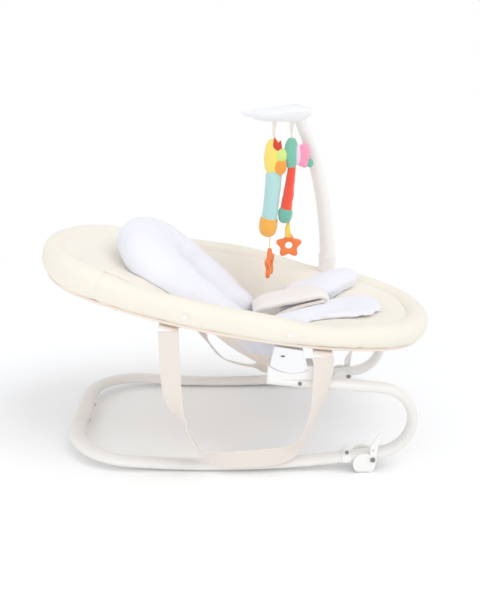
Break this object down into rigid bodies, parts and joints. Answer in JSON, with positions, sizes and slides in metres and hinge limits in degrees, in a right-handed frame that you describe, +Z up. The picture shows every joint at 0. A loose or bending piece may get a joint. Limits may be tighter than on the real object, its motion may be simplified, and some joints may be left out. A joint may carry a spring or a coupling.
{
  "type": "bouncer_seat",
  "caption": "Rocking baby bouncer seat with a padded oval seat that reclines on a bent-tube base, a harness, carry straps and a toy bar with hanging soft toys.",
  "frame": {"origin": "on the floor, under the middle of the outline", "axes": "+X towards the feet, +Y towards the toy bar's side, +Z up"},
  "size_m": [0.7876, 0.484, 0.665],
  "materials": {
    "tube": "light warm grey powder coat on bent steel tube",
    "steel": "bright zinc plated",
    "plastic": "off-white moulded plastic, fine grain",
    "grey_plastic": "light grey moulded plastic",
    "cream_fabric": "cream knitted fabric over foam",
    "insert_fabric": "off-white soft plush",
    "binding": "pale beige woven tape",
    "harness": "beige padded webbing",
    "webbing": "beige woven webbing",
    "ribbon": "off-white ribbon",
    "yellow_ribbon": "yellow ribbon",
    "yellow_plush": "yellow plush with orange and lime patches",
    "red_plush": "red felt",
    "aqua_plush": "aqua plush with an amber foot",
    "green_plush": "green plush",
    "pink_plush": "pink plush",
    "coral_plush": "red-orange plush",
    "orange_teether": "soft orange teether rubber"
  },
  "bodies": {
    "base": {"base_tube_near": "tube", "base_tube_far": "tube", "rear_sleeve": "tube", "snap_springs": "steel", "hub_saddle_near": "plastic", "hub_saddle_far": "plastic", "hub_cover_near": "plastic", "hub_cover_far": "plastic", "pivot_bolts": "steel", "pivot_nuts": "steel", "saddle_screws": "steel", "recline_springs": "steel", "stopper_pivots": "steel", "stopper_clip_near": "plastic", "stopper_clip_far": "plastic", "clip_screws": "steel"},
    "snap_button_near": {"snap_button_near": "steel"},
    "snap_button_far": {"snap_button_far": "steel"},
    "recline_button_near": {"recline_button_near": "grey_plastic"},
    "recline_button_far": {"recline_button_far": "grey_plastic"},
    "stopper_near": {"stopper_foot_near": "plastic"},
    "stopper_far": {"stopper_foot_far": "plastic"},
    "seat": {"rim_tube_head": "tube", "rim_tube_foot": "tube", "seat_bracket_near": "plastic", "seat_bracket_far": "plastic", "rim_pad": "cream_fabric", "rim_binding": "binding", "seat_bowl": "cream_fabric", "body_pad": "insert_fabric", "head_roll": "insert_fabric", "leg_flap_near": "insert_fabric", "leg_flap_far": "insert_fabric", "crotch_pad": "harness", "waist_belt_near": "harness", "waist_belt_far": "harness", "rim_studs": "plastic", "strap_tabs": "binding", "toy_bar_socket": "plastic"},
    "toy_bar": {"toy_collar": "plastic", "toy_post": "plastic", "toy_plate_top": "plastic", "toy_plate_bottom": "plastic"},
    "toy_a": {"toy_a_ribbon": "ribbon", "toy_a_head": "yellow_plush", "toy_a_crest": "red_plush", "toy_a_body": "aqua_plush", "toy_a_string": "ribbon"},
    "toy_a_star": {"toy_a_star": "orange_teether"},
    "toy_b": {"toy_b_ribbon": "ribbon", "toy_b_head": "green_plush", "toy_b_snout": "pink_plush", "toy_b_body": "coral_plush", "toy_b_loop": "yellow_ribbon"},
    "toy_b_star": {"toy_b_star": "orange_teether"},
    "carry_near": {"carry_strap_near": "webbing"},
    "carry_far": {"carry_strap_far": "webbing"}
  },
  "joints": [
    {"name": "seat_tilt", "type": "hinge", "parent": "base", "child": "seat", "pos_m": [0.096, 0, 0.243], "axis": [0, 1, 0], "range_deg": [0, 12]},
    {"name": "toy_bar_swivel", "type": "hinge", "parent": "seat", "child": "toy_bar", "pos_m": [0.20311, 0.18519, 0.325], "axis": [0, 0, 1], "range_deg": [-5, 80]},
    {"name": "toy_a_swing", "type": "hinge", "parent": "toy_bar", "child": "toy_a", "pos_m": [0.074, 0.09, 0.6407], "axis": [1, 0, 0], "range_deg": [-20, 12]},
    {"name": "toy_a_star_swing", "type": "hinge", "parent": "toy_a", "child": "toy_a_star", "pos_m": [0.066, 0.09, 0.3707], "axis": [1, 0, 0], "range_deg": [-24, 12]},
    {"name": "toy_b_swing", "type": "hinge", "parent": "toy_bar", "child": "toy_b", "pos_m": [0.111, 0.09, 0.6407], "axis": [1, 0, 0], "range_deg": [-20, 12]},
    {"name": "toy_b_star_swing", "type": "hinge", "parent": "toy_b", "child": "toy_b_star", "pos_m": [0.11, 0.09, 0.3987], "axis": [1, 0, 0], "range_deg": [-30, 12]},
    {"name": "carry_near_swing", "type": "hinge", "parent": "seat", "child": "carry_near", "pos_m": [0.01594, -0.226, 0.2772], "axis": [0.9836, 0, -0.1805], "range_deg": [-150, 1]},
    {"name": "carry_far_swing", "type": "hinge", "parent": "seat", "child": "carry_far", "pos_m": [0.01594, 0.226, 0.2772], "axis": [-0.9836, 0, 0.1805], "range_deg": [-150, 1]},
    {"name": "stopper_near_flip", "type": "hinge", "parent": "base", "child": "stopper_near", "pos_m": [0.262, -0.2, 0.0304], "axis": [0, 1, 0], "range_deg": [0, 25]},
    {"name": "stopper_far_flip", "type": "hinge", "parent": "base", "child": "stopper_far", "pos_m": [0.262, 0.2, 0.0304], "axis": [0, 1, 0], "range_deg": [0, 25]},
    {"name": "recline_button_near_press", "type": "slide", "parent": "base", "child": "recline_button_near", "axis": [0, -1, 0], "range_m": [0, 0.003], "stiffness_N_per_m": 1500, "springref_m": -0.0015},
    {"name": "recline_button_far_press", "type": "slide", "parent": "base", "child": "recline_button_far", "axis": [0, 1, 0], "range_m": [0, 0.003], "stiffness_N_per_m": 1500, "springref_m": -0.0015},
    {"name": "snap_button_near_press", "type": "slide", "parent": "base", "child": "snap_button_near", "axis": [-0.9962, 0, 0.0876], "range_m": [0, 0.0025], "stiffness_N_per_m": 1500, "springref_m": -0.0015},
    {"name": "snap_button_far_press", "type": "slide", "parent": "base", "child": "snap_button_far", "axis": [-0.9962, 0, 0.0876], "range_m": [0, 0.0025], "stiffness_N_per_m": 1500, "springref_m": -0.0015}
  ]
}
